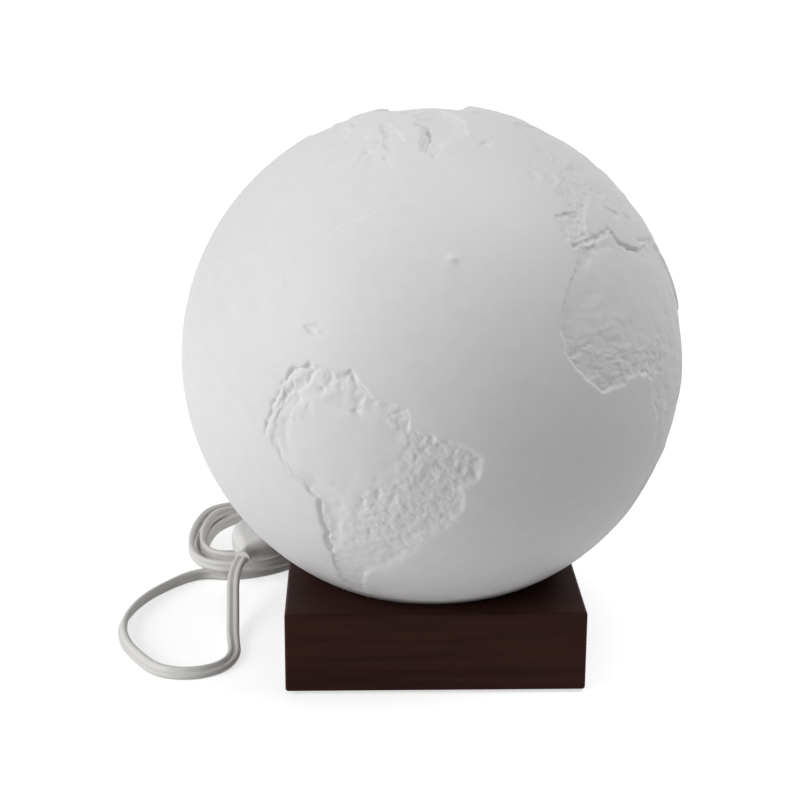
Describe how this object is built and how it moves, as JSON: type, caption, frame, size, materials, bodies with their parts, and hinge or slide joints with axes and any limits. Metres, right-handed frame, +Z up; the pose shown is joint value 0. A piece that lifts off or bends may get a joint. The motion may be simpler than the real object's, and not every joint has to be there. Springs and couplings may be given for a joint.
{
  "type": "globe table lamp",
  "caption": "Table lamp with a hollow white relief globe resting in a square dark wooden base, over a small bulb, on a flat twin cord with an inline switch and a plug.",
  "frame": {"origin": "on the table, under the middle of the square base", "axes": "+Z up, front of the lamp towards -Y, so +X is to the right seen from the front"},
  "size_m": [0.2309, 0.263, 0.2205],
  "materials": {
    "globe": "matte, unglazed, with fine relief",
    "wood": "dark stain, satin, faint straight grain",
    "felt": "short felt",
    "cover": "fine texture",
    "steel": "zinc plated",
    "brass": "plain",
    "cord": "satin",
    "moulded": "satin moulded",
    "rocker": "satin moulded",
    "holder": "moulded",
    "insert": "glazed",
    "wire_live": "satin",
    "bulb_cap": "plain",
    "bulb_black": "glossy",
    "bulb_white": "satin",
    "opal": "opal",
    "board": "white coated",
    "led": "phosphor"
  },
  "bodies": {
    "base": {"base_block": "wood", "felt_pad": "felt", "bottom_cover": "cover", "cover_screws": "steel", "strain_relief": "moulded", "cord_clamp": "cover", "clamp_screws": "steel", "threaded_nipple": "steel", "nipple_washer": "steel", "nipple_nuts": "brass", "holder_cap": "holder", "holder_insert": "insert", "holder_skirt": "holder", "holder_shell": "brass", "holder_contact": "brass", "terminal_screws": "brass", "lead_wire_live": "wire_live", "lead_wire_neutral": "wire_live", "switch_lower": "moulded", "switch_upper": "moulded", "switch_contacts": "brass", "switch_screws": "steel", "cord_tail": "cord", "cord_lead": "cord", "cord_link": "cord", "cord_coil": "cord", "cord_loop": "cord", "plug_body": "moulded", "plug_blades": "brass"},
    "globe": {"globe_shell": "globe"},
    "bulb": {"bulb_contact": "brass", "bulb_insulator": "bulb_black", "bulb_cap": "bulb_cap", "bulb_neck": "bulb_white", "bulb_board": "board", "bulb_leds": "led", "bulb_diffuser": "opal"},
    "rocker": {"switch_rocker": "rocker"}
  },
  "joints": [
    {"name": "globe_lift", "type": "slide", "parent": "base", "child": "globe", "axis": [0, 0, 1], "range_m": [0, 0.11]},
    {"name": "bulb_out", "type": "slide", "parent": "base", "child": "bulb", "axis": [0, 0, 1], "range_m": [0, 0.03]},
    {"name": "rocker_tip", "type": "hinge", "parent": "base", "child": "rocker", "pos_m": [0.012, 0.153, 0.0103], "axis": [0, -1, 0], "range_deg": [0, 14]}
  ]
}
